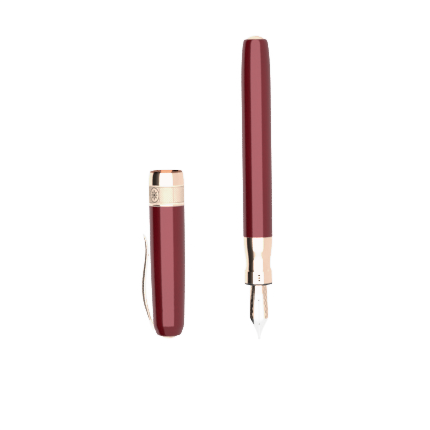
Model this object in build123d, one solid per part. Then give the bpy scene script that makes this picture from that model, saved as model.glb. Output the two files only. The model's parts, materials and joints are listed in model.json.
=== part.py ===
"""Fountain pen with its cap taken off and laid beside it.

Frame: millimetres. The pen's axis is the Y axis, with the barrel towards +Y and the nib towards -Y, its
engraved face up (+Z). The origin is on that axis at the barrel's open end, where barrel and grip meet.
The cap lies at -X, parallel to the pen, with its mouth towards +Y and its clip on the -X side.
Barrel and cap touch the same level plane below them.
"""

from build123d import *
from math import asin, cos, radians, sin
import os

# ---- Driving dimensions ----------------------------------------------------------------------------
BARREL_R = 6.5          # outside of the barrel's cylindrical length
BARREL_LEN = 84.6       # open end to the flat rim around the end jewel
BARREL_STRAIGHT = 60.0  # cylindrical length, before the taper
SECTION_LEN = 20.7      # grip, from the barrel to its front face
NIB_REACH = 23.9        # nib showing in front of the grip
CAP_LEN = 71.2          # mouth rim to the flat rim around the end jewel
CAP_R = 7.78            # cap at its widest
CAP_MOUTH_R = 6.7       # bore of the cap's mouth, which slides over the barrel
CAP_X = -38.9           # cap's axis beside the pen's
CAP_MOUTH_Y = 29.0      # cap's mouth, laid beside the pen
CAP_Z = CAP_R - BARREL_R  # both rest on one plane
JEWEL_R = 4.0           # rose gold end jewels of barrel and cap
JEWEL_DOME = 1.5
SEAM = 0.05             # gap left where two visible pieces meet
SLIP = 0.02             # radial clearance of glued, pressed and slipped fits
STUD_R = 1.0            # threaded stud of either jewel

# ---- Barrel thread and converter -------------------------------------------------------------------
THREAD_PITCH = 1.0
THREAD_DEPTH = 0.5
TENON_R = 4.45          # root of the grip's male thread
TENON_LEN = 7.0
BUSH_BORE_R = 5.05      # root of the bush's female thread
BUSH_R = 5.6
BUSH_Y = (1.3, 8.1)
BARREL_BORE_R = 4.9
BARREL_FLOOR_Y = 77.5   # end of the barrel's bore
TUBE_R = 3.6            # converter's clear reservoir
TUBE_BORE_R = 3.0
TUBE_Y = (-2.45, 34.5)
COLLAR_Y = (31.0, 46.0)
COLLAR_R = 3.85
GUIDE_Y = (34.6, 35.6)  # plate that stops the piston rod from turning
PEG_Y = 37.2            # knob's two pegs, in the rod's thread
KNOB_Y = (46.2, 64.5)
KNOB_R = 3.75
ROD_LEAD = 6.0          # two starts, 3 mm apart
ROD_R = 1.7
ROD_CORE_R = 1.1
ROD_FLAT = 1.35         # half distance across the rod's flats
ROD_Y = (29.0, 62.6)
PISTON_Y = (26.5, 31.5)
NIPPLE_R = 1.7
NIPPLE_Y = (-9.0, -3.0)


# ---- Shapes made in several pieces -----------------------------------------------------------------
def turned(*edges):
    """A ring or rod: closed outline of edges in the plane x = radius, y = along the axis, turned about Y."""
    return revolve(make_face(list(edges)), axis=Axis.Y, revolution_arc=360)


def lathe(*points):
    """The same from corner points (radius, y) only."""
    return turned(*Polyline(*points, close=True).edges())


def ring(inner, outer, low, high):
    return lathe((inner, low), (outer, low), (outer, high), (inner, high))


def rod(radius, low, high):
    return lathe((0, low), (radius, low), (radius, high), (0, high))


def block(x, y, z):
    """A box from (low, high) pairs."""
    size = [high - low for low, high in (x, y, z)]
    middle = [(high + low) / 2 for low, high in (x, y, z)]
    return Pos(*middle) * Box(*size)


def along_y(shape):
    """Turns a shape made along Z so that it runs along Y."""
    return Rot(-90, 0, 0) * shape


def thread_ridge(root_r, tip_r, pitch, low, high, root_width, tip_width):
    """Right-handed helical ridge between two radii, its root sunk a little into the wall that carries it."""
    outward = 1 if tip_r > root_r else -1
    sunk = root_r - 0.08 * outward
    helix = Helix(pitch=pitch, height=high - low, radius=sunk)
    depth = tip_r - sunk
    section = Polyline(
        (0, -root_width / 2), (depth, -tip_width / 2), (depth, tip_width / 2), (0, root_width / 2), close=True
    )
    start = Plane(origin=helix @ 0, x_dir=(1, 0, 0), z_dir=helix % 0)
    ridge = sweep(start * make_face(section), path=helix, is_frenet=True)
    return Pos(0, low, 0) * along_y(ridge)


# ---- Barrel ----------------------------------------------------------------------------------------
def jewel(seat_y, stud_y, outward):
    """Domed end jewel on a threaded stud. outward is +1 where the dome faces +Y."""
    rim = seat_y + outward * 0.6
    sphere_r = (JEWEL_R**2 + JEWEL_DOME**2) / (2 * JEWEL_DOME)
    half = asin(JEWEL_R / sphere_r) / 2
    crest = rim + outward * JEWEL_DOME
    dome = ThreePointArc(
        (JEWEL_R, rim), (sphere_r * sin(half), crest - outward * sphere_r * (1 - cos(half))), (0, crest)
    )
    rest = Polyline(
        (0, crest), (0, stud_y), (STUD_R, stud_y), (STUD_R, seat_y), (JEWEL_R, seat_y), (JEWEL_R, rim)
    )
    return turned(dome, *rest.edges())


def barrel_tube():
    taper_end = (5.70, BARREL_LEN - 3.0)
    rim_r = 4.4
    taper = Spline((BARREL_R, BARREL_STRAIGHT), (6.34, 73.3), taper_end, tangents=((0, 1), (-0.13, 1)))
    shoulder = (5.2, BARREL_LEN - 0.7)
    corner = Spline(taper_end, shoulder, (rim_r, BARREL_LEN), tangents=((-0.13, 1), (-1, 0.05)))
    seat = BARREL_LEN - 0.6
    inside = Polyline(
        (rim_r, BARREL_LEN), (JEWEL_R + SEAM, BARREL_LEN), (JEWEL_R + SEAM, seat), (STUD_R + 0.1, seat),
        (STUD_R + 0.1, 80.5), (2.6, 80.5), (2.6, BARREL_FLOOR_Y), (BARREL_BORE_R, BARREL_FLOOR_Y),
        (BARREL_BORE_R, BUSH_Y[1] + SEAM), (BUSH_R + SLIP, BUSH_Y[1] + SEAM), (BUSH_R + SLIP, 0),
        (BARREL_R, 0), (BARREL_R, BARREL_STRAIGHT),
    )
    return turned(taper, corner, *inside.edges())


def barrel_bush():
    """Brass insert with the barrel's female thread."""
    sleeve = ring(BUSH_BORE_R, BUSH_R, *BUSH_Y)
    low = BUSH_Y[0] + 0.7
    ridge = thread_ridge(BUSH_BORE_R, BUSH_BORE_R - THREAD_DEPTH, THREAD_PITCH, low, low + 5.0, 0.42, 0.18)
    return sleeve + ridge


def barrel_jewel():
    return jewel(BARREL_LEN - 0.6, 78.2, 1)


def barrel_jewel_nut():
    nut = ring(STUD_R + SLIP, 2.5, 77.7, 80.4)
    slots = block((-3, 3), (77.6, 78.4), (-0.4, 0.4))
    return nut - slots


def barrel_seal():
    """O-ring in the barrel's mouth, around the tenon."""
    return along_y(Pos(0, 0, 0.55) * Torus(5.05, 0.45))


def barrel_buffer():
    """Rubber pad at the end of the bore, loose enough to stay still while the barrel turns."""
    return ring(2.9, BARREL_BORE_R - 0.08, BARREL_FLOOR_Y - 3.2, BARREL_FLOOR_Y - 0.1)


# ---- Grip ------------------------------------------------------------------------------------------
LINER_R = 4.55
HOUSING_R = 4.1
FRONT_RING_Y = (-SECTION_LEN, -SECTION_LEN + 0.8)
WAIST_Y = -12.0
COLLAR_EDGE_Y = -14.7   # ridge where the waist meets the front collar


def section_sleeve():
    """Rose gold grip with a waist and a front collar."""
    waist_r = 5.36
    top = (6.3, -SEAM)
    front_y = FRONT_RING_Y[1] + SEAM
    upper = Spline(top, (6.06, -5.5), (waist_r, WAIST_Y), tangents=((0, -1), (0, -1)))
    flare = Spline((waist_r, WAIST_Y), (5.97, COLLAR_EDGE_Y), tangents=((0, -1), (0.6, -0.8)))
    collar = Line((5.97, COLLAR_EDGE_Y), (6.12, front_y))
    inside = Polyline(
        (6.12, front_y), (5.52, front_y), (5.52, -16.2), (LINER_R + SLIP, -16.2), (LINER_R + SLIP, -SEAM), top
    )
    return turned(upper, flare, collar, *inside.edges())


def section_liner():
    """Black core: barrel tenon with the male thread, ink nipple, and the seat of the nib unit."""
    wall = (NIPPLE_Y[0] - 1.2, NIPPLE_Y[0])
    core = lathe(
        (HOUSING_R + SLIP, FRONT_RING_Y[1] + SEAM), (LINER_R, FRONT_RING_Y[1] + SEAM), (LINER_R, 0),
        (TENON_R, 0), (TENON_R, TENON_LEN - 0.3), (TENON_R - 0.3, TENON_LEN), (4.0, TENON_LEN),
        (4.0, wall[1]), (NIPPLE_R, wall[1]), (NIPPLE_R, NIPPLE_Y[1] - 0.4), (NIPPLE_R - 0.4, NIPPLE_Y[1]),
        (0.7, NIPPLE_Y[1]), (0.7, wall[0]), (HOUSING_R + SLIP, wall[0]),
    )
    low = BUSH_Y[0] + 0.2
    ridge = thread_ridge(TENON_R, TENON_R + THREAD_DEPTH, THREAD_PITCH, low, low + 5.0, 0.42, 0.18)
    return core + ridge


def section_front_ring():
    """Thin black ring that closes the front of the grip."""
    low, high = FRONT_RING_Y
    bore = HOUSING_R + 0.08
    return lathe((bore, low), (6.0, low), (6.14, low + 0.14), (6.14, high), (bore, high))


def closure_ring():
    """Steel ring in the grip's collar, which the cap's magnet pulls on."""
    return ring(LINER_R + 0.06, 5.46, -19.4, -16.4)


# ---- Nib unit --------------------------------------------------------------------------------------
NIB_T = 0.34
NIB_BASE_Y = -13.0
NIB_TIP_Y = -SECTION_LEN - NIB_REACH
NIB_BASE_R = 3.6
SHOULDER_Y = -34.6
SHOULDER_W = 4.15       # half width at the shoulders
TIP_BEAD_R = 0.55
NIB_END_Y = NIB_TIP_Y + 1.6 * TIP_BEAD_R  # where the sheet ends and the tipping begins
NIB_END_Z = 1.5         # crest of the sheet at its end
VENT_Y = -27.3
VENT_R = 0.42
SLIT = 0.14
FEED_GAP = 0.1
FEED_TIP_Y = -38.6
# cross-sections of the nib: (y, radius of the bend, half angle of the arc, height of the crest)
NIB_STATIONS = (
    (NIB_BASE_Y, NIB_BASE_R, 100, NIB_BASE_R),
    (-SECTION_LEN, NIB_BASE_R + 0.02, 98, NIB_BASE_R),
    (-27.0, 4.5, 78, 3.5),
    (SHOULDER_Y, 5.8, 52, 3.1),
    (-39.6, 6.5, 34, 2.42),
    (NIB_TIP_Y, 7.0, 17, NIB_END_Z),
)


def bent_strip(station, above, below):
    """Crescent cross-section at one station, between two offsets from the nib's outer face."""
    y, radius, half_angle, crest = station
    centre = crest - radius

    def at(r, angle):
        return (r * sin(radians(angle)), centre + r * cos(radians(angle)))

    outer_r, inner_r = radius + above, radius + below
    outer = ThreePointArc(at(outer_r, -half_angle), at(outer_r, 0), at(outer_r, half_angle))
    inner = ThreePointArc(at(inner_r, half_angle), at(inner_r, 0), at(inner_r, -half_angle))
    ends = [Line(outer @ 1, inner @ 0), Line(inner @ 1, outer @ 0)]
    plane = Plane(origin=(0, y, 0), x_dir=(1, 0, 0), z_dir=(0, -1, 0))
    return plane * make_face([outer, ends[0], inner, ends[1]])


def nib_outline():
    """Half of the nib's plan, mirrored: parallel at the grip, out to the shoulders, then in to the point."""
    root, neck = (4.6, -21.0), (3.75, -22.0)
    shoulder, turn, waist, end = (SHOULDER_W, SHOULDER_Y), (3.5, -36.4), (1.78, -39.6), (0.42, NIB_END_Y)
    half = [
        Line((0, NIB_BASE_Y + 1), (4.6, NIB_BASE_Y + 1)),
        Line((4.6, NIB_BASE_Y + 1), root),
        Line(root, neck),
        Spline(neck, (3.98, -28.0), shoulder, tangents=((0.02, -1), (0.0, -1))),
        Spline(shoulder, turn, tangents=((0.0, -1), (-0.56, -0.83))),
        Spline(turn, waist, end, tangents=((-0.56, -0.83), (-0.2, -0.98))),
        Line(end, (0, NIB_END_Y)),
        Line((0, NIB_END_Y), (0, NIB_BASE_Y + 1)),
    ]
    side = make_face(half)
    return side + mirror(side, about=Plane.YZ)


def nib():
    plan = extrude(Pos(0, 0, -4) * nib_outline(), amount=9)
    vent = Pos(0, VENT_Y, 3) * Cylinder(VENT_R, 4)
    slit = block((-SLIT / 2, SLIT / 2), (NIB_TIP_Y - 1, VENT_Y), (0, 5))
    return (loft([bent_strip(s, 0, -NIB_T) for s in NIB_STATIONS]) & plan) - vent - slit


def nib_tipping():
    """Hard metal pellet at the point, split by the slit into one bead on each tine."""
    bead = Pos(0, NIB_TIP_Y + TIP_BEAD_R, NIB_END_Z - 0.3) * Sphere(TIP_BEAD_R)
    front = block((-1, 1), (NIB_TIP_Y - 1, NIB_END_Y - 0.01), (-1, 3))
    slit = block((-SLIT / 2, SLIT / 2), (NIB_TIP_Y - 1, NIB_TIP_Y + 2), (-1, 3))
    return (bead & front) - slit


def feed():
    """Black feed under the nib: a tapered body whose comb of fins holds ink, and a channel on top."""
    back, shoulder, front = -11.2, -23.5, FEED_TIP_Y
    body_r = NIB_BASE_R - NIB_T - 0.08
    body = lathe((0, back), (body_r, back), (body_r, shoulder), (1.5, front), (0, front))
    keel = Polyline(
        (back, 4), (front, 4), (front, 0.2), (front + 2.2, -1.35), (shoulder, -3.3), (back, -3.3), close=True
    )
    body &= extrude(Plane.YZ * make_face(keel), amount=5, both=True)
    body -= loft([bent_strip(s, 3, -NIB_T - FEED_GAP) for s in NIB_STATIONS])
    core = rod(1.75, -40, -20)
    for n in range(17):
        y = -35.2 + 0.8 * n
        body -= block((-5, 5), (y, y + 0.34), (-5, 0.9)) - core
    channel = block((-0.2, 0.2), (front - 1, back - 1), (1.4, 5))
    return body - channel


def nib_housing():
    """Black collar that grips nib and feed together."""
    return ring(NIB_BASE_R + 0.08, HOUSING_R, -19.9, -10.35)


# ---- Converter -------------------------------------------------------------------------------------
def converter_socket():
    """Mouth of the converter: slips over the nipple and holds the clear tube."""
    low = NIPPLE_Y[0] + 0.8
    return lathe(
        (NIPPLE_R + SLIP, low), (3.5, low), (3.8, low + 0.3), (3.8, 3.0), (TUBE_R + SLIP, 3.0),
        (TUBE_R + SLIP, TUBE_Y[0] - SEAM), (NIPPLE_R + SLIP, TUBE_Y[0] - SEAM),
    )


def converter_tube():
    return ring(TUBE_BORE_R, TUBE_R, *TUBE_Y)


def converter_collar():
    """Metal collar between tube and knob. Its plate has a flat-sided hole that keeps the rod from turning."""
    low, high = COLLAR_Y
    shell = lathe(
        (TUBE_R + SLIP, low), (COLLAR_R - 0.15, low), (COLLAR_R, low + 0.15), (COLLAR_R, high - 0.15),
        (COLLAR_R - 0.15, high), (3.3, high), (3.3, GUIDE_Y[1]), (0, GUIDE_Y[1]), (0, GUIDE_Y[0]),
        (TUBE_R + SLIP, GUIDE_Y[0]),
    )
    hole = rod(ROD_R + 0.1, 30, 40) & block((-ROD_FLAT - 0.08, ROD_FLAT + 0.08), (30, 40), (-3, 3))
    return shell - hole


def converter_knob():
    """Turning knob: fluted head, and a sleeve inside the collar with two pegs in the rod's thread."""
    head_low, head_high = KNOB_Y
    bore = ROD_R + 0.12
    body = lathe(
        (bore, GUIDE_Y[1] + 0.1), (3.2, GUIDE_Y[1] + 0.1), (3.2, head_low), (KNOB_R - 0.2, head_low),
        (KNOB_R, head_low + 0.2), (KNOB_R, head_high - 0.8), (KNOB_R - 0.8, head_high), (0, head_high),
        (0, head_high - 1.3), (bore, head_high - 1.3),
    )
    flutes = [
        Rot(0, a, 0) * (Pos(0, 55.5, KNOB_R + 0.25) * along_y(Cylinder(0.45, 13)))
        for a in [n * 360 / 20 for n in range(20)]
    ]
    body -= Compound(flutes)
    peg_length = bore + 0.3 - ROD_CORE_R - 0.1
    for turn in (0, 180):
        peg = Pos(ROD_CORE_R + 0.1 + peg_length / 2, 0, 0) * (Rot(0, 90, 0) * Cylinder(0.6, peg_length))
        body += Pos(0, PEG_Y, 0) * (Rot(0, turn, 0) * peg)
    return body


def piston_rod():
    """Two-start screw with flats. It slides without turning."""
    low, high = ROD_Y
    shaft = rod(ROD_CORE_R, PISTON_Y[1] + 0.2, high) + rod(0.9, low, PISTON_Y[1] + 0.2)
    shaft += ring(ROD_CORE_R - 0.2, ROD_R, PISTON_Y[1] + 0.1, PISTON_Y[1] + 0.9)
    # on the pegs' axis the ridges are half a lead apart, and each peg lies midway between two of them
    first = PEG_Y - 0.75 * ROD_LEAD
    ridge = thread_ridge(ROD_CORE_R, ROD_R, ROD_LEAD, first, high - 0.4, 1.1, 0.7)
    shaft += ridge + Rot(0, 180, 0) * ridge
    flats = block((-ROD_FLAT, ROD_FLAT), (low - 1, high + 1), (-3, 3))
    return shaft & flats


def piston_seal():
    """Rubber piston with two lips."""
    low, high = PISTON_Y
    lip = TUBE_BORE_R - 0.03
    return lathe(
        (0, low), (lip - 0.5, low), (lip, low + 0.5), (lip, low + 1.2), (lip - 0.45, low + 1.7),
        (lip - 0.45, high - 1.7), (lip, high - 1.2), (lip, high - 0.5), (lip - 0.5, high), (0.93, high),
        (0.93, ROD_Y[0] - 0.05), (0, ROD_Y[0] - 0.05),
    )


def agitator_ball():
    return Pos(0, 0.0, -(TUBE_BORE_R - 1.0 - 0.03)) * Sphere(1.0)


# ---- Cap, made with its mouth at y = 0 and its closed end towards -Y, then laid beside the pen -------
CAP_FLOOR = 68.6        # depth of the bore's end
BAND_DEPTH = (5.95, 13.9)
TRIM_DEPTH = (14.0, 14.7)
SLEEVE_R = 7.1          # outside of the mouth ring's hidden sleeve
SLEEVE_END = 20.0
SEAT_DEPTH = 37.0       # where the grip's front stops when the cap is on
CHAMBER_R = 4.9         # inner cap's room for the nib
CHAMBER_DEPTH = 61.6    # 0.7 past the nib's tip when the cap is on
PIVOT = (-3.2, -66.3)   # clip pin, (x, y)
PIN_R = 0.5
CLIP_SLOT = (63.2, 69.5)


def cap_mouth_ring():
    """Polished mouth: a flared lip in front of a sleeve that carries band, trim ring and tube."""
    lip_end = BAND_DEPTH[0] - SEAM
    flare = Spline(
        (CAP_MOUTH_R + 0.25, 0), (7.53, -2.1), (CAP_R - 0.03, -lip_end), tangents=((0.5, -0.86), (0, -1))
    )
    rest = Polyline(
        (CAP_R - 0.03, -lip_end), (SLEEVE_R, -lip_end), (SLEEVE_R, -SLEEVE_END), (CAP_MOUTH_R, -SLEEVE_END),
        (CAP_MOUTH_R, -0.1), (CAP_MOUTH_R + 0.1, 0), (CAP_MOUTH_R + 0.25, 0),
    )
    return turned(flare, *rest.edges())


def cap_band():
    return ring(SLEEVE_R + SLIP, CAP_R - 0.06, -BAND_DEPTH[1], -BAND_DEPTH[0])


def cap_trim_ring():
    shallow, deep = -TRIM_DEPTH[0], -TRIM_DEPTH[1]
    bulge = ThreePointArc((CAP_R - 0.14, shallow), (CAP_R + 0.06, (shallow + deep) / 2), (CAP_R - 0.14, deep))
    rest = Polyline(
        (CAP_R - 0.14, deep), (SLEEVE_R + SLIP, deep), (SLEEVE_R + SLIP, shallow), (CAP_R - 0.14, shallow)
    )
    return turned(bulge, *rest.edges())


def cap_tube():
    """Resin tube, closed at one end, with the clip's slot."""
    top = -(TRIM_DEPTH[1] + SEAM)
    shoulder = (6.82, -66.4)
    rim_r = 4.5
    side = Spline(
        (CAP_R, top), (7.72, -31.0), (7.44, -49.5), (7.1, -60.2), shoulder, tangents=((0, -1), (-0.09, -1))
    )
    corner = Spline(shoulder, (5.86, -69.7), (rim_r, -CAP_LEN), tangents=((-0.09, -1), (-1, -0.12)))
    seat = -(CAP_LEN - 0.6)
    inside = Polyline(
        (rim_r, -CAP_LEN), (JEWEL_R + SEAM, -CAP_LEN), (JEWEL_R + SEAM, seat), (STUD_R + 0.1, seat),
        (STUD_R + 0.1, -CAP_FLOOR), (5.0, -CAP_FLOOR), (5.0, -62.4), (6.0, -61.8), (6.75, -42.0),
        (6.75, -SLEEVE_END - 0.2), (SLEEVE_R + SLIP, -SLEEVE_END - 0.2), (SLEEVE_R + SLIP, top), (CAP_R, top),
    )
    slot = block((-9, -3.8), (-CLIP_SLOT[1], -CLIP_SLOT[0]), (-1.3, 1.3))
    return turned(side, corner, *inside.edges()) - slot


def inner_cap():
    """Airtight liner: wide where it takes the grip, narrow around the nib."""
    mouth = -(SLEEVE_END + 0.3)
    return lathe(
        (6.42, mouth), (6.7, mouth), (6.7, -SEAT_DEPTH - 0.3), (5.6, -SEAT_DEPTH - 0.3), (5.6, -61.5),
        (4.9, -62.2), (0, -62.2), (0, -CHAMBER_DEPTH), (CHAMBER_R - 1.0, -CHAMBER_DEPTH),
        (CHAMBER_R, -CHAMBER_DEPTH + 1.0), (CHAMBER_R, -SEAT_DEPTH), (6.42, -SEAT_DEPTH),
    )


def cap_magnet():
    return ring(5.64, 6.66, -40.4, -37.4)


def clip_holder():
    """Brass block in the cap's end. The jewel's stud draws it against the floor, and the clip turns in it."""
    body = rod(4.92, -CAP_FLOOR + SEAM, -62.6)
    stud_hole = rod(STUD_R + SLIP, -CAP_FLOOR - 1, -64.4)
    slot = block((-6, -1.4), (-CAP_FLOOR - 1, -CLIP_SLOT[0]), (-1.12, 1.12))
    pin_hole = Pos(PIVOT[0], PIVOT[1], 0) * Cylinder(PIN_R + 0.01, 12)
    return body - stud_hole - slot - pin_hole


def cap_jewel():
    return jewel(-(CAP_LEN - 0.6), -64.7, -1)


def clip_pin():
    return Pos(PIVOT[0], PIVOT[1], 0) * Cylinder(PIN_R, 6.4)


def clip_spring():
    """Small compression spring that holds the clip shut."""
    wire, turns, length = 0.14, 3.5, 1.25
    helix = Helix(pitch=length / turns, height=length, radius=0.55)
    start = Plane(origin=helix @ 0, x_dir=(1, 0, 0), z_dir=helix % 0)
    coil = sweep(start * Circle(wire), path=helix, is_frenet=True)
    return Pos(-2.2, -CLIP_SLOT[0] - 0.16 - length, 0) * along_y(coil)


# clip's blade from its tip: (depth, crest radius, half width, hollow depth, thickness)
CLIP_STATIONS = (
    (27.2, 10.62, 0.75, 0.15, 0.60), (28.4, 10.32, 1.25, 0.45, 0.72), (30.6, 9.92, 1.55, 0.72, 0.75),
    (34.0, 9.74, 1.80, 0.95, 0.75), (38.5, 10.15, 2.00, 1.12, 0.75), (43.0, 10.85, 2.20, 1.28, 0.75),
    (48.0, 11.42, 2.35, 1.35, 0.75), (52.5, 11.50, 2.40, 1.35, 0.78), (57.0, 10.90, 2.15, 1.15, 0.85),
    (61.0, 9.75, 1.70, 0.80, 0.95), (64.5, 8.60, 1.25, 0.40, 1.10), (67.6, 7.30, 0.95, 0.20, 1.10),
)


def clip_section(depth, crest, half, hollow, thick):
    """Curved cross-section of the blade, hollow towards the cap."""
    outer = ThreePointArc((-(crest - hollow), -half), (-crest, 0), (-(crest - hollow), half))
    inset = 0.12
    near = crest - hollow - thick
    inner = ThreePointArc((-near, half - inset), (-(crest - thick), 0), (-near, -half + inset))
    ends = [Line(outer @ 1, inner @ 0), Line(inner @ 1, outer @ 0)]
    plane = Plane(origin=(0, -depth, 0), x_dir=(1, 0, 0), z_dir=(0, -1, 0))
    return plane * make_face([outer, ends[0], inner, ends[1]])


def clip():
    """Sprung clip: arched blade with a raised tip, contact bead, and a root that turns on the pin."""
    blade = loft([clip_section(*s) for s in CLIP_STATIONS])
    tip = Pos(-10.28, -27.55, 0) * Sphere(0.62)
    bead = Pos(-8.85, -36.2, 0) * Sphere(0.98)
    eye = Pos(PIVOT[0], PIVOT[1], 0) * Cylinder(1.3, 2.0)
    web_outline = Polyline(
        (-3.2, -67.6), (-6.9, -68.9), (-8.2, -65.9), (-8.3, -64.3), (-6.2, -64.2), (-3.2, -65.0), close=True
    )
    web = extrude(Pos(0, 0, -1.0) * make_face(web_outline), amount=2.0)
    heel = block((-3.2, -1.62), (-66.9, -65.75), (-1.0, 1.0))
    pin_hole = Pos(PIVOT[0], PIVOT[1], 0) * Cylinder(PIN_R + 0.04, 6)
    return blade + tip + bead + eye + web + heel - pin_hole


# ---- Writing the pieces ----------------------------------------------------------------------------
PEN_PIECES = (
    barrel_tube, barrel_bush, barrel_jewel, barrel_jewel_nut, barrel_seal, barrel_buffer, section_sleeve,
    section_liner, section_front_ring, closure_ring, nib, nib_tipping, feed, nib_housing, converter_socket,
    converter_tube, converter_collar, converter_knob, piston_rod, piston_seal, agitator_ball,
)
CAP_PIECES = (
    cap_mouth_ring, cap_band, cap_trim_ring, cap_tube, inner_cap, cap_magnet, clip_holder, cap_jewel,
    clip_pin, clip_spring, clip,
)

os.makedirs("parts", exist_ok=True)
for make in PEN_PIECES:
    export_step(make(), f"parts/{make.__name__}.step")
for make in CAP_PIECES:
    export_step(Pos(CAP_X, CAP_MOUTH_Y, CAP_Z) * make(), f"parts/{make.__name__}.step")
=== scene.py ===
"""Looks of the fountain pen: materials, engraved pieces, light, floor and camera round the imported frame.

Lengths are metres in the CAD frame: the pen lies along Y with its nib towards -Y, the cap beside it at -X.
MM turns the millimetres that the pen's sizes are given in into metres.
"""
import json
from math import asin, atan2, cos, hypot, pi, radians, sin, sqrt

import bmesh
import bpy
from mathutils import Matrix, Vector


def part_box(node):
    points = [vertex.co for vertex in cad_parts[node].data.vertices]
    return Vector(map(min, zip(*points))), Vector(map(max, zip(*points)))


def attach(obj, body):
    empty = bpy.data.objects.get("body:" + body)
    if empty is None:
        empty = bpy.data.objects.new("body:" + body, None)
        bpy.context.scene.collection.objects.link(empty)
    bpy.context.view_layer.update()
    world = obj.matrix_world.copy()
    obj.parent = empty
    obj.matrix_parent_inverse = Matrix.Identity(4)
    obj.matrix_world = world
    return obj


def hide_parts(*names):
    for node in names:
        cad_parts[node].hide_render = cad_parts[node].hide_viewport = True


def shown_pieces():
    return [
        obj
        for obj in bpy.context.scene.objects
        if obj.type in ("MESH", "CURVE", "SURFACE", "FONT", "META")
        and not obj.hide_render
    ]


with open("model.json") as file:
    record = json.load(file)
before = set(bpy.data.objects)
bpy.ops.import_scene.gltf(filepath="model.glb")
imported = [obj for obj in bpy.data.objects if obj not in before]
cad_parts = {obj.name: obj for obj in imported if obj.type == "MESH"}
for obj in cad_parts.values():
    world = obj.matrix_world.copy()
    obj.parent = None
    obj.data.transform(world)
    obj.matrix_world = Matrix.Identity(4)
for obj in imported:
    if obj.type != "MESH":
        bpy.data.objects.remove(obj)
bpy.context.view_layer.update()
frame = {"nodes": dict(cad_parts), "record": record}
NODES = frame["nodes"]

MM = 0.001


# ---- Node helpers ----------------------------------------------------------------------------------
class Shader:
    """A material's node tree with short calls for the nodes used here."""

    def __init__(self, name):
        self.material = bpy.data.materials.new(name)
        self.material.use_nodes = True
        self.tree = self.material.node_tree
        self.surface = self.tree.nodes["Principled BSDF"]

    def node(self, kind, **settings):
        made = self.tree.nodes.new(kind)
        for key, value in settings.items():
            setattr(made, key, value)
        return made

    def link(self, source, target):
        self.tree.links.new(source, target)

    def set(self, **inputs):
        for key, value in inputs.items():
            self.surface.inputs[key.replace("_", " ")].default_value = value

    def place(self, scale=(1, 1, 1)):
        """Position in the CAD frame, scaled for each axis."""
        where = self.node("ShaderNodeTexCoord")
        mapping = self.node("ShaderNodeMapping")
        mapping.inputs["Scale"].default_value = scale
        self.link(where.outputs["Object"], mapping.inputs["Vector"])
        return mapping.outputs["Vector"]

    def noise(self, scale, detail=3.0, stretch=(1, 1, 1)):
        made = self.node("ShaderNodeTexNoise")
        made.inputs["Scale"].default_value = scale
        made.inputs["Detail"].default_value = detail
        self.link(self.place(stretch), made.inputs["Vector"])
        return made.outputs["Fac"]

    def ramp(self, value, *stops):
        """Colour ramp from (position, colour) stops."""
        made = self.node("ShaderNodeValToRGB")
        elements = made.color_ramp.elements
        while len(elements) < len(stops):
            elements.new(0.5)
        for element, (position, colour) in zip(elements, stops):
            element.position = position
            element.color = (*colour, 1)
        self.link(value, made.inputs["Fac"])
        return made.outputs["Color"]

    def between(self, value, low, high):
        """Maps a 0 to 1 value onto low to high."""
        made = self.node("ShaderNodeMapRange")
        made.inputs["To Min"].default_value = low
        made.inputs["To Max"].default_value = high
        self.link(value, made.inputs["Value"])
        return made.outputs["Result"]

    def math(self, operation, *values):
        """A calculation on numbers and sockets."""
        made = self.node("ShaderNodeMath", operation=operation)
        for value, socket in zip(values, made.inputs):
            if isinstance(value, (int, float)):
                socket.default_value = value
            else:
                self.link(value, socket)
        return made.outputs[0]

    def mix(self, share, low, high):
        """low where share is 0 and the plain colour high where it is 1."""
        made = self.node("ShaderNodeMixRGB")
        made.inputs["Color2"].default_value = (*high, 1)
        self.link(share, made.inputs["Fac"])
        self.link(low, made.inputs["Color1"])
        return made.outputs["Color"]

    def axes(self):
        """Position in millimetres as three sockets."""
        made = self.node("ShaderNodeSeparateXYZ")
        self.link(self.place((1 / MM,) * 3), made.inputs[0])
        return [made.outputs[axis] for axis in "XYZ"]

    def bump(self, height, distance, strength=1.0):
        made = self.node("ShaderNodeBump")
        made.inputs["Strength"].default_value = strength
        made.inputs["Distance"].default_value = distance
        self.link(height, made.inputs["Height"])
        self.link(made.outputs["Normal"], self.surface.inputs["Normal"])


# ---- Materials -------------------------------------------------------------------------------------
CAP_X, CAP_Z, CAP_MOUTH = -38.9, 1.28, 29.0  # the cap's axis and its mouth, in millimetres
BORE_R = 7.2  # a little more than its mouth's bore
# the grip's row of lozenges: length and half width of one, the row's place and its ends
MARK_PITCH, MARK_HALF, MARK_X, MARK_ENDS = 1.1, 0.7, 0.2, (-19.0, -15.7)
RESIN, RESIN_DARK, RESIN_SHINE = (0.076, 0.0016, 0.0042), (0.058, 0.0009, 0.0025), (0.94, 0.39, 0.435)
ROSE, ROSE_DARK = (0.97, 0.71, 0.56), (0.93, 0.65, 0.50)
SILVER = (0.97, 0.97, 0.95)
# the first colour: dark copper painted inside the cap's mouth as its shade; the second: the grip mark's
# colour
BORE_SHADE, MARK_DARK = (0.30, 0.12, 0.07), (0.010, 0.009, 0.009)


def resin():
    """Burgundy cast resin, polished: faint depth of colour, and wax-like micro scratches in the gloss."""
    m = Shader("burgundy_resin")
    cloud = m.noise(70, 4, (1, 0.35, 1))
    colour = m.ramp(cloud, (0.30, RESIN_DARK), (0.72, RESIN))
    m.link(colour, m.surface.inputs["Base Color"])
    m.link(m.between(m.noise(2600, 2), 0.035, 0.075), m.surface.inputs["Roughness"])
    m.set(IOR=1.87, Specular_Tint=(*RESIN_SHINE, 1))
    m.bump(m.noise(9000, 2, (1, 0.2, 1)), 0.000002, 0.2)
    return m.material


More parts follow.
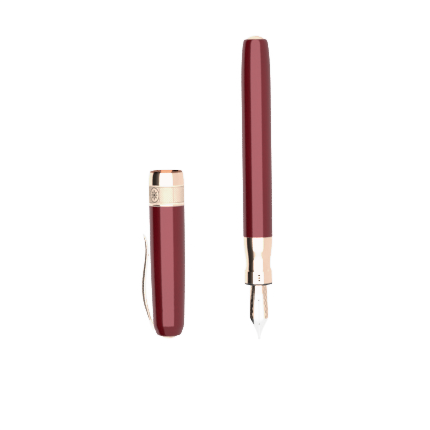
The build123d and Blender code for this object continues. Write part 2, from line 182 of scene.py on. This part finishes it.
def polished_metal(name, colour, darker, roughness, lines=1.0, over=None):
    """Turned and polished metal: fine lathe lines round the Y axis and a slow drift in colour.

    over is a function that paints something on the colour.
    """
    m = Shader(name)
    tone = m.ramp(m.noise(160, 3), (0.25, darker), (0.75, colour))
    m.link(over(m, tone) if over else tone, m.surface.inputs["Base Color"])
    m.set(Metallic=1.0)
    rub = m.noise(900, 4, (1, 3, 1))
    m.link(m.between(rub, roughness * 0.75, roughness * 1.35), m.surface.inputs["Roughness"])
    m.bump(m.noise(1500, 2, (0.05, 14, 0.05)), 0.000004, 0.10 * lines)
    return m.material


def plain(name, colour, roughness, grain=1200, depth=0.00001, **inputs):
    """Moulded or ground surface with a fine grain."""
    m = Shader(name)
    dark = tuple(c * 0.8 for c in colour)
    m.link(m.ramp(m.noise(grain * 0.2, 3), (0.3, dark), (0.7, colour)), m.surface.inputs["Base Color"])
    m.link(m.between(m.noise(grain, 3), roughness * 0.8, roughness * 1.2), m.surface.inputs["Roughness"])
    m.set(**inputs)
    m.bump(m.noise(grain, 3), depth, 0.4)
    return m.material


def painted_bore_shade(m, tone):
    """The inside of the cap's mouth is painted a dark copper tone: painted shade inside the bore."""
    x, _, z = m.axes()
    squares = [m.math("POWER", m.math("SUBTRACT", a, b), 2) for a, b in ((x, CAP_X), (z, CAP_Z))]
    # the bore's inside gets the dark copper: painted shade
    inside = m.math("LESS_THAN", m.math("ADD", *squares), BORE_R**2)
    return m.mix(inside, tone, BORE_SHADE)


def grip_mark(m, tone):
    """A short row of lozenges along the grip's collar."""
    x, y, z = m.axes()
    half = MARK_PITCH / 2
    across = m.math("DIVIDE", m.math("ABSOLUTE", m.math("SUBTRACT", x, MARK_X)), MARK_HALF)
    along = m.math("DIVIDE", m.math("PINGPONG", m.math("SUBTRACT", y, MARK_ENDS[0]), half), half)
    shape = m.math("GREATER_THAN", m.math("SUBTRACT", along, across), 0)
    tests = (("GREATER_THAN", y, MARK_ENDS[0]), ("LESS_THAN", y, MARK_ENDS[1]), ("GREATER_THAN", z, 0))
    for test in tests:
        shape = m.math("MULTIPLY", shape, m.math(*test))
    return m.mix(shape, tone, MARK_DARK)


def engraved_metal(name, colour, second, roughness, cut_shade_level=0.35):
    """Polished metal with a second colour and dark cuts, from the mesh's "plate" and "cut" values: the cuts'
    darkness is painted shade.

    The last argument is how much of the colour's brightness the painted shade in the cuts leaves.
    """
    m = Shader(name)
    drift = m.ramp(m.noise(160, 3), (0.25, tuple(c * 0.93 for c in colour)), (0.75, colour))
    plate, cut_and_shade = (m.node("ShaderNodeAttribute", attribute_name=n).outputs["Fac"] for n in ("plate", "cut_and_shade"))
    two_tone = m.mix(plate, drift, second)
    # the cuts are darkened: painted shade in the engraving
    m.link(m.mix(cut_and_shade, two_tone, tuple(c * cut_shade_level for c in colour)), m.surface.inputs["Base Color"])
    m.set(Metallic=1.0)
    rub = m.noise(1400, 4, (1, 2, 1))
    m.link(m.between(rub, roughness * 0.8, roughness * 1.3), m.surface.inputs["Roughness"])
    m.bump(m.noise(2600, 2), 0.000003, 0.12)
    return m.material


MATERIALS = {
    "burgundy_resin": resin(),
    "rose_gold": polished_metal("rose_gold", ROSE, ROSE_DARK, 0.06),
    # the last number of each engraved metal: the brightness left in its cuts under painted shade
    "nib_metal": engraved_metal("nib_metal", ROSE, SILVER, 0.07, 0.42),
    # the clip: a darker copy of the rose gold, its shade painted in so its highlights don't burn out
    "sprung_clip": engraved_metal("sprung_clip", (0.70, 0.56, 0.47), SILVER, 0.24, 0.22),
    "tipping_metal": polished_metal("tipping_metal", (0.13, 0.13, 0.135), (0.10, 0.10, 0.105), 0.22),
    "yellow_brass": polished_metal("yellow_brass", (0.85, 0.62, 0.28), (0.70, 0.48, 0.20), 0.28, 3),
    "steel": plain("steel", (0.56, 0.57, 0.58), 0.32, Metallic=1.0),
    "chromed_steel": polished_metal("chromed_steel", (0.80, 0.81, 0.83), (0.70, 0.71, 0.73), 0.10),
    "black_plastic": plain("black_plastic", (0.018, 0.018, 0.020), 0.34),
    "seal_rubber": plain("seal_rubber", (0.022, 0.022, 0.024), 0.70, 2400),
    "clear_plastic": plain("clear_plastic", (0.90, 0.94, 0.95), 0.06, 1200, 0.000002,
                           Transmission_Weight=0.95, IOR=1.49),
}
# its cuts keep a tenth of its brightness: painted shade
BAND_METAL = engraved_metal("band_metal", (0.88, 0.72, 0.60), SILVER, 0.72, 0.10)
# pieces whose material has more to it than their slot's
OWN = {
    "cap_mouth_ring": polished_metal("mouth_metal", ROSE, ROSE_DARK, 0.06, over=painted_bore_shade),
    "section_sleeve": polished_metal("grip_metal", ROSE, ROSE_DARK, 0.06, over=grip_mark),
}
for part in frame["record"]["subparts"]:
    node = NODES[part["node"]]
    node.data.materials.clear()
    node.data.materials.append(OWN.get(part["node"], MATERIALS[part["material_slot"]]))


# ---- Mesh helpers ----------------------------------------------------------------------------------
WELD = 0.001  # points closer than this become one
CREASE = radians(40)  # edges sharper than this stay sharp


class Sheet:
    """A mesh grown from rows of points, with "plate" and "cut" values for its material; the cut values also
    carry painted shade.
    """

    def __init__(self):
        self.points, self.faces, self.plate, self.cut_and_shade = [], [], [], []

    def add(self, point, plate=0.0, cut_and_shade=0.0):
        self.points.append(Vector(point) * MM)
        self.plate.append(plate)
        self.cut_and_shade.append(cut_and_shade)
        return len(self.points) - 1

    def skin(self, rows, closed=False):
        """Quads between neighbouring rows of point numbers. closed joins each row's ends."""
        for low, high in zip(rows, rows[1:]):
            count = len(low)
            for i in range(count if closed else count - 1):
                j = (i + 1) % count
                self.faces.append((low[i], low[j], high[j], high[i]))

    def build(self, name, material, body, slot, *nodes):
        """The piece, riding on a body and standing for CAD nodes."""
        mesh = bpy.data.meshes.new(name)
        mesh.from_pydata(self.points, [], self.faces)
        for label, values in (("plate", self.plate), ("cut_and_shade", self.cut_and_shade)):
            mesh.attributes.new(label, "FLOAT", "POINT").data.foreach_set("value", values)
        shape = bmesh.new()
        shape.from_mesh(mesh)
        bmesh.ops.remove_doubles(shape, verts=shape.verts, dist=WELD * MM)
        bmesh.ops.dissolve_degenerate(shape, dist=WELD * MM, edges=shape.edges)
        bmesh.ops.recalc_face_normals(shape, faces=shape.faces)
        shape.to_mesh(mesh)
        shape.free()
        mesh.shade_smooth()
        mesh.set_sharp_from_angle(angle=CREASE)
        mesh.materials.append(material)
        piece = bpy.data.objects.new(name, mesh)
        bpy.context.scene.collection.objects.link(piece)
        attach(piece, body)
        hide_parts(*nodes)
        return piece


def smooth(low, high, value):
    """0 at low, 1 at high, with soft ends. low may be the greater."""
    t = min(1.0, max(0.0, (value - low) / (high - low)))
    return t * t * (3 - 2 * t)


def line(distance, half_width):
    """1 in the middle of an engraved line, 0 outside it."""
    return 1 - smooth(0.3 * half_width, half_width, abs(distance))


def spread(low, high, count):
    """Evenly spaced values with both ends in."""
    return [low + (high - low) * i / (count - 1) for i in range(count)]


def curve(table, at, column):
    """Smooth value of a table's column at a place. Its rows start with the place, in rising order."""
    last = len(table) - 1
    i = max(0, min(last - 1, sum(row[0] <= at for row in table) - 1))
    rows = [table[max(0, min(last, i + k))] for k in (-1, 0, 1, 2)]
    places, values = [r[0] for r in rows], [r[column] for r in rows]

    def slope(k):
        gap = places[k + 1] - places[k - 1]
        return (values[k + 1] - values[k - 1]) / gap if gap else 0.0

    size = places[2] - places[1]
    t = min(1.0, max(0.0, (at - places[1]) / size))
    start, end = slope(1) * size, slope(2) * size
    return (
        (2 * t**3 - 3 * t**2 + 1) * values[1] + (t**3 - 2 * t**2 + t) * start
        + (3 * t**2 - 2 * t**3) * values[2] + (t**3 - t**2) * end
    )


# ---- Nib -------------------------------------------------------------------------------------------
# its cross-sections are arcs. Along them: (place, radius, height of the crest)
NIB_BEND = (
    (-44.6, 7.0, 1.5), (-39.6, 6.5, 2.42), (-34.6, 5.8, 3.1), (-27.0, 4.5, 3.5), (-20.7, 3.62, 3.6),
    (-13.0, 3.6, 3.6),
)
# half of its outline seen from above: (place, half width)
NIB_EDGE = (
    (-43.72, 0.42), (-41.6, 0.98), (-39.6, 1.78), (-38.0, 2.62), (-36.4, 3.50), (-35.4, 3.97), (-34.6, 4.13),
    (-33.0, 4.14), (-28.0, 3.98), (-22.0, 3.75),
)
NIB_END, NIB_MOUTH, NIB_BACK = -43.72, -22.0, -13.0
NIB_WRAP = radians(98)  # how far round the feed its hidden base reaches
NIB_T, NIB_CUT, NIB_BEVEL = 0.34, 0.03, 0.05  # thickness, depth of the engraving, edge
VENT_Y, VENT_R, SLIT_HALF = -27.3, 0.42, 0.07
# the rope's length of one twist, and its middle and swing as shares of the nib's half width
ROPE_PITCH, ROPE_PLACE, ROPE_SWING = 5.0, 0.72, 0.12
RULE_PLACES = (0.94, 0.52)  # the two fine lines beside it, as shares of the half width
NIB_ROWS = (260, 90, 16)  # along the tines, the body and the hidden base
NIB_TOP, NIB_UNDER, VENT_STEPS = 64, 12, 20  # points across its top and underside, and round half the vent


def nib_engraving(along, share, width):
    """(cut, plate) at a place along the nib and a share of its half width.

    A rope border between two fine lines, a ring round the vent, a darker line along the front edges as
    painted shade, and a plated middle and tines.
    """
    x = share * width
    fade = smooth(-35.9, -34.9, along) * smooth(-20.9, -21.6, along)
    swing = ROPE_SWING * width * sin(2 * pi * along / ROPE_PITCH)
    middle = ROPE_PLACE * width
    rope = max(line(x - middle - swing, 0.17), line(x - middle + swing, 0.17))
    rules = max(line(x - place * width, 0.10) for place in RULE_PLACES)
    ring = line(hypot(x, along - VENT_Y) - VENT_R - 0.35, 0.08)
    # a darker line along the front edges: painted shade at the nib's outline
    rim_shade = 0.5 * line(width - x, 0.22) * smooth(-34.0, -35.0, along)
    inside = smooth(0.50, 0.46, share) * smooth(-24.0, -25.5, along)
    return max(fade * max(rope, rules, 0.6 * ring), rim_shade), max(inside, smooth(-35.2, -35.7, along))


def nib_half_angle(y):
    """How far the arc reaches at each side: to the outline in front, round the feed in the grip."""
    radius = curve(NIB_BEND, y, 1)
    front = asin(min(1.0, curve(NIB_EDGE, y, 1) / radius))
    return front + (NIB_WRAP - front) * smooth(NIB_MOUTH, NIB_MOUTH + 1.2, y)


def nib():
    """Two mirrored halves, parted by the slit from the point to the vent and welded behind it."""
    tines, body, base = NIB_ROWS
    circle = [VENT_Y - VENT_R * cos(pi * i / VENT_STEPS) for i in range(VENT_STEPS + 1)]
    rows = spread(NIB_END, circle[0], tines)[:-1] + circle + spread(circle[-1], NIB_MOUTH + 1.3, body)[1:]
    rows += spread(NIB_MOUTH + 1.3, NIB_BACK, base)[1:]
    sheet = Sheet()
    for side in (1, -1):
        loops = []
        for y in rows:
            radius, centre = curve(NIB_BEND, y, 1), curve(NIB_BEND, y, 2) - curve(NIB_BEND, y, 1)
            gap = SLIT_HALF if y < VENT_Y else 0.0
            gap = max(gap, sqrt(max(0.0, VENT_R**2 - (y - VENT_Y) ** 2)))
            first, last = asin(gap / radius), nib_half_angle(y)

            def place(angle, depth):
                r = radius - depth
                return (side * r * sin(angle), y, centre + r * cos(angle))

            loop = []
            width = radius * sin(min(last, pi / 2))
            edge = NIB_BEVEL / radius
            inset = edge if gap else 0.0
            for angle in spread(first + inset, last - edge, NIB_TOP):
                cut_and_shade, plate = nib_engraving(y, radius * sin(angle) / width, width)
                loop.append(sheet.add(place(angle, NIB_CUT * cut_and_shade), plate, cut_and_shade))
            plate = sheet.plate[loop[0]]
            loop += [sheet.add(place(last, depth), 0.0) for depth in (NIB_BEVEL, NIB_T)]
            loop += [sheet.add(place(angle, NIB_T), plate) for angle in spread(last, first, NIB_UNDER)[1:]]
            loop += [sheet.add(place(first, NIB_BEVEL if gap else 0.0), plate)]
            loops.append(loop)
        parted = sum(y <= circle[-1] for y in rows)
        sheet.skin(loops[:parted], closed=True)
        sheet.skin([loop[:-1] for loop in loops[parted - 1:]])
        for loop in (loops[0], loops[-1]):
            sheet.faces.append(tuple(loop))
    return sheet.build("nib_engraved", MATERIALS["nib_metal"], "grip", "nib_metal", "nib")


# ---- Cap band --------------------------------------------------------------------------------------
BAND_T, BAND_CUT, BAND_BEVEL = 0.55, 0.07, 0.10
BAND_PANELS, BAND_LINES = 8, 52  # panels round the band, and lattice lines each way
BAND_ROUND, BAND_ROWS = 624, 96  # points round the band, and rows across its engraving
PETALS = 8
MEDAL_TURN, MEDAL_SIZE = radians(-42), (2.5, 3.2)  # the oval's place round the band, and half its size


def band_engraving(turn, across, radius, half):
    """Cut of the band at an angle round the cap and a distance from its middle, which its material also
    darkens as painted shade.

    Crossed fine lines in panels with a plain border, and one oval with a rosette.
    """
    around = ((turn - MEDAL_TURN + pi) % (2 * pi) - pi) * radius
    oval = hypot(around / MEDAL_SIZE[0], across / MEDAL_SIZE[1])
    if oval < 1.12:
        petals = 0.56 + 0.20 * cos(PETALS * atan2(around, across))
        flower = smooth(petals, petals - 0.10, oval) * smooth(0.03, 0.07, abs(oval - 0.26))
        return max(flower, line((oval - 0.98) * 2.6, 0.26))
    pitch = 2 * pi * radius / BAND_LINES
    crossed = [abs(((around + s * across) / pitch) % 1.0 - 0.5) * pitch for s in (1, -1)]
    lattice = 0.6 * max(line(c, 0.16) for c in crossed)
    panel = abs((turn / (2 * pi) * BAND_PANELS) % 1.0 - 0.5) / BAND_PANELS * 2 * pi * radius
    margin = smooth(half - 0.80, half - 0.95, abs(across))
    border = max(line(abs(across) - half + 0.65, 0.14), line(panel, 0.16) * margin)
    return max(lattice * margin * smooth(0.15, 0.40, panel), border)


def cap_band():
    """The engraved band as one closed ring."""
    low, high = (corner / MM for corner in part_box("cap_band"))
    outer, inner = (high.x - low.x) / 2, (high.x - low.x) / 2 - BAND_T
    middle, half = (low.y + high.y) / 2, (high.y - low.y) / 2
    turns = [2 * pi * i / BAND_ROUND for i in range(BAND_ROUND)]
    sheet = Sheet()

    def ring_row(across, radius, engraved=False):
        row = []
        for turn in turns:
            cut_and_shade = band_engraving(turn, across, outer, half) if engraved else 0.0
            r = radius - BAND_CUT * cut_and_shade
            row.append(sheet.add((CAP_X + r * sin(turn), middle + across, CAP_Z + r * cos(turn)), 0.0, cut_and_shade))
        return row

    rows = [ring_row(-half, inner), ring_row(-half, outer - BAND_BEVEL)]
    edge = half - BAND_BEVEL
    rows += [ring_row(across, outer, True) for across in spread(-edge, edge, BAND_ROWS)]
    rows += [ring_row(half, outer - BAND_BEVEL), ring_row(half, inner)]
    sheet.skin(rows + [rows[0]], closed=True)
    return sheet.build("cap_band_engraved", BAND_METAL, "cap", "rose_gold", "cap_band")


# ---- Clip ------------------------------------------------------------------------------------------
# its blade from the tip:
# (depth from the cap's mouth, crest's distance from the cap's axis, half width, hollow, thickness)
CLIP_BEND = (
    (27.2, 10.62, 0.75, 0.15, 0.60), (28.4, 10.32, 1.25, 0.45, 0.72), (30.6, 9.92, 1.55, 0.72, 0.75),
    (34.0, 9.74, 1.80, 0.95, 0.75), (38.5, 10.15, 2.00, 1.12, 0.75), (43.0, 10.85, 2.20, 1.28, 0.75),
    (48.0, 11.42, 2.35, 1.35, 0.75), (52.5, 11.48, 2.40, 1.35, 0.78), (57.0, 10.90, 2.15, 1.15, 0.85),
    (61.0, 9.75, 1.70, 0.80, 0.95), (64.5, 8.60, 1.25, 0.40, 1.10), (67.6, 7.30, 0.95, 0.20, 1.10),
)
CLIP_TIP, CLIP_ROUND = 27.0, 1.1  # where the tip ends and how far it takes to reach full width
CLIP_CUT, CLIP_BEVEL = 0.06, 0.06
CLIP_BORDER, CLIP_RIB = 0.74, 0.30  # lines' places as shares of the half width
CLIP_GROOVES, GROOVE_PITCH, GROOVE_SLANT = (43.0, 67.0), 1.5, 0.9
CLIP_ROOT_HALF = 1.0
PIN, PIN_HOLE, EYE_R = (-3.2, 66.3), 0.54, 1.3  # pin's place: (from the cap's axis, depth)
# root round the eye, from the pin: (outwards, up the cap)
CLIP_ROOT = ((-3.0, 2.1), (-5.1, 2.0), (-5.0, 0.4), (-3.7, -2.6))
CLIP_HEEL = ((1.58, -0.60), (1.58, 0.55))
BEAD = (8.85, 36.2, 0.98)  # contact bead: (from the cap's axis, depth, radius)
CLIP_ROWS, CLIP_TOP, CLIP_UNDER = 400, 56, 14  # rows along the blade, points across its top and underside
BEAD_RINGS, BEAD_ROUND = 17, 32


def clip_engraving(depth, share, half):
    """Cut of the blade: a border line, a rib's two lines, and slanting grooves where the blade is widest,
    darkened by its material as painted shade.
    """
    x = share * half
    border = line(abs(x) - CLIP_BORDER * half, 0.28)
    rib = line(abs(x) - CLIP_RIB * half, 0.17)
    slant = abs((depth + GROOVE_SLANT * abs(x)) / GROOVE_PITCH % 1.0 - 0.5) * GROOVE_PITCH
    low, high = CLIP_GROOVES
    field = smooth(low, low + 2, depth) * smooth(high, high - 2, depth) * smooth(0.70, 0.62, abs(share))
    ends = smooth(CLIP_TIP + 0.8, CLIP_TIP + 1.6, depth)
    return ends * max(border, rib, field * smooth(0.34, 0.42, abs(share)) * line(slant, 0.34))


def cap_place(out, depth, across):
    """Point on the clip's side of the cap, in the frame."""
    return (CAP_X - out, CAP_MOUTH - depth, CAP_Z + across)


def clip_blade(sheet):
    """Arched blade, hollow towards the cap, with a rounded tip and its underside's edges darkened as painted
    shade.
    """
    loops = []
    for depth in spread(CLIP_TIP, CLIP_BEND[-1][0], CLIP_ROWS):
        crest, half, hollow, thick = (curve(CLIP_BEND, depth, column) for column in (1, 2, 3, 4))
        short = max(0.0, 1 - (depth - CLIP_TIP) / CLIP_ROUND)
        full = max(0.08, sqrt(1 - short**2))
        half, thick, middle = half * full, thick * full, crest - thick / 2
        bend = (half**2 + hollow**2) / (2 * hollow)
        loop = []

        def add(x, lift, cut_and_shade=0.0):
            sag = bend - sqrt(bend**2 - x**2)
            loop.append(sheet.add(cap_place(middle + lift - sag, depth, x), 0.0, cut_and_shade))

        for share in spread(-1, 1, CLIP_TOP):
            cut_and_shade = clip_engraving(depth, share, half)
            edge = CLIP_BEVEL * smooth(0.94, 1.0, abs(share))
            add(share * half, thick / 2 - edge - CLIP_CUT * cut_and_shade, cut_and_shade)
        # underside: its edges darkened through the cut value, as painted shade
        for share in spread(1, -1, CLIP_UNDER):
            add(share * (half - 0.12 * full), -thick / 2, smooth(0.7, 1.0, abs(share)))
        loops.append(loop)
    sheet.skin(loops, closed=True)
    for loop in (loops[0], loops[-1]):
        sheet.faces.append(tuple(loop))


def clip_root(sheet):
    """Flat root with the eye that the pin goes through, and the heel that the spring pushes on."""

    def arc(start, end, count):
        return [(EYE_R * cos(radians(a)), EYE_R * sin(radians(a))) for a in spread(start, end, count)]

    outline = [*CLIP_ROOT, *arc(270, 332, 8), *CLIP_HEEL, *arc(25, 90, 8)]
    rows = []
    for across, outside in ((-1, False), (-1, True), (1, True), (1, False)):
        row = []
        for x, y in outline:
            shrink = 1.0 if outside else PIN_HOLE / hypot(x, y)
            out, depth = -(PIN[0] + x * shrink), PIN[1] - y * shrink
            row.append(sheet.add(cap_place(out, depth, across * CLIP_ROOT_HALF)))
        rows.append(row)
    sheet.skin(rows + [rows[0]], closed=True)


def clip_bead(sheet):
    """Ball under the blade that presses on the cap."""
    out, depth, radius = BEAD
    rows = []
    turns = [2 * pi * i / BEAD_ROUND for i in range(BEAD_ROUND)]
    for slope in spread(-pi / 2, pi / 2, BEAD_RINGS):
        ring, rise = radius * cos(slope), radius * sin(slope)
        rows.append([sheet.add(cap_place(out + rise, depth + ring * cos(t), ring * sin(t))) for t in turns])
    sheet.skin(rows, closed=True)


def clip():
    """Blade, root and contact bead as one piece."""
    sheet = Sheet()
    clip_blade(sheet)
    clip_root(sheet)
    clip_bead(sheet)
    return sheet.build("clip_engraved", MATERIALS["sprung_clip"], "clip", "sprung_clip", "clip")


nib()
cap_band()
clip()


# ---- Light, floor and camera -----------------------------------------------------------------------
FLOOR_Z, FLOOR_GAP, FLOOR_HALF = -6.5 * MM, 0.02 * MM, 3.0  # in metres
FLOOR_GREY, FLOOR_GLOW = (0.30, 0.30, 0.30), (0.62, 3.6)  # its glow for the pen and for the camera
# brightness by angle round the pen's axis, in degrees from straight up towards +X: a dark flag on the
# left, a broad bright box overhead, and the room round them. Past the box's ends: the room alone
BOX_LEVELS = (
    (-180, 1.2), (-103, 1.2), (-100, 0.02), (-72, 0.03), (-58, 0.10), (-49, 0.24), (-43, 0.50), (-40, 3.6),
    (37, 3.6), (41, 0.92), (92, 0.92), (102, 1.25), (180, 1.25),
)
ROOM_LEVELS = ((-180, 1.2), (-103, 1.2), (-100, 0.02), (-60, 0.05), (-43, 0.16), (-40, 0.95), (180, 0.95))
# share of the box seen, by angle along the pen
BOX_ENDS = ((-180, 0), (-25, 0), (-22, 1), (122, 1), (126, 0), (180, 0))
BACKDROP = 6.0  # what the camera sees behind everything: well past white
# picture brightness by light: true up to a pale tone, then a slow roll-off, as film does
TONES = ((0.0, 0.0), (0.45, 0.45), (0.90, 0.88), (1.8, 0.935), (4.0, 1.0))
CAMERA_DISTANCE = 908 * MM
CAMERA_TILT = radians(5.8)
CAMERA_ROLL = radians(-0.85)
CAMERA_AIM = Vector((-18.3 * MM, 9.45 * MM, 0))
CAMERA_LENS = 177


def studio_sky():
    """What reflections see: a soft box along the pen, in a room. The camera sees plain white."""
    world = bpy.data.worlds.new("studio")
    bpy.context.scene.world = world
    world.use_nodes = True
    tree = world.node_tree
    tree.nodes.clear()
    new, link = tree.nodes.new, tree.links.new
    where, split = new("ShaderNodeTexCoord"), new("ShaderNodeSeparateXYZ")
    link(where.outputs["Generated"], split.inputs[0])

    def levels(axis, stops):
        """Brightness by the angle from straight up towards an axis, from (degrees, level) stops."""
        angle, share, ramp = new("ShaderNodeMath"), new("ShaderNodeMapRange"), new("ShaderNodeValToRGB")
        angle.operation = "ARCTAN2"
        share.inputs["From Min"].default_value, share.inputs["From Max"].default_value = -pi, pi
        elements = ramp.color_ramp.elements
        while len(elements) < len(stops):
            elements.new(0.5)
        for element, (turn, level) in zip(elements, stops):
            element.position = (turn + 180) / 360
            element.color = (level, level, level, 1)
        link(split.outputs[axis], angle.inputs[0])
        link(split.outputs["Z"], angle.inputs[1])
        link(angle.outputs[0], share.inputs["Value"])
        link(share.outputs["Result"], ramp.inputs["Fac"])
        return ramp.outputs["Color"]

    def mix(*sources):
        """A mix of share, first and second colour, each a socket."""
        made = new("ShaderNodeMixRGB")
        for source, socket in zip(sources, made.inputs):
            link(source, socket)
        return made.outputs["Color"]

    lit = mix(levels("Y", BOX_ENDS), levels("X", ROOM_LEVELS), levels("X", BOX_LEVELS))
    white = new("ShaderNodeRGB")
    white.outputs[0].default_value = (BACKDROP, BACKDROP, BACKDROP, 1)
    path, light, out = new("ShaderNodeLightPath"), new("ShaderNodeBackground"), new("ShaderNodeOutputWorld")
    link(mix(path.outputs["Is Camera Ray"], lit, white.outputs[0]), light.inputs["Color"])
    link(light.outputs[0], out.inputs["Surface"])


def floor():
    """Pale sheet: soft light from below for the pen, and for the camera a glow with faint shadows."""
    mesh = bpy.data.meshes.new("floor")
    square = ((-1, -1), (1, -1), (1, 1), (-1, 1))
    corners = [(x * FLOOR_HALF, y * FLOOR_HALF, FLOOR_Z - FLOOR_GAP) for x, y in square]
    mesh.from_pydata(corners, [], [(0, 1, 2, 3)])
    sheet = bpy.data.objects.new("floor", mesh)
    bpy.context.scene.collection.objects.link(sheet)
    m = Shader("floor")
    m.set(Base_Color=(*FLOOR_GREY, 1), Roughness=1.0, Specular_IOR_Level=0.0, Emission_Color=(1, 1, 1, 1))
    seen = m.node("ShaderNodeLightPath").outputs["Is Camera Ray"]
    m.link(m.between(seen, *FLOOR_GLOW), m.surface.inputs["Emission Strength"])
    mesh.materials.append(m.material)
    sheet.visible_glossy = False  # the sky's lower half stands for it in reflections


def camera():
    """Looks down on the pen from a little towards the cap's mouth."""
    data = bpy.data.cameras.new("camera")
    data.lens = CAMERA_LENS
    data.clip_start, data.clip_end = 0.01, 10
    eye = bpy.data.objects.new("camera", data)
    bpy.context.scene.collection.objects.link(eye)
    back = Vector((0, sin(CAMERA_TILT), cos(CAMERA_TILT)))
    eye.location = CAMERA_AIM + back * CAMERA_DISTANCE
    side = Vector((1, 0, 0))
    turn = Matrix((side, back.cross(side), back)).transposed()
    eye.rotation_euler = (turn @ Matrix.Rotation(CAMERA_ROLL, 3, "Z")).to_euler()
    bpy.context.scene.camera = eye


def picture_tones():
    """Keeps highlights on polished metal from burning out to flat white."""
    view = bpy.context.scene.view_settings
    view.view_transform = "Standard"
    view.use_curve_mapping = True
    mapping = view.curve_mapping
    mapping.use_clip = False
    mapping.clip_max_x = TONES[-1][0]
    points = mapping.curves[3].points
    while len(points) < len(TONES):
        points.new(0.5, 0.5)
    for point, place in zip(points, TONES):
        point.location = place
        point.handle_type = "VECTOR"
    mapping.update()


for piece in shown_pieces():
    piece.visible_glossy = False  # pen and cap don't show in each other
studio_sky()
floor()
camera()
picture_tones()
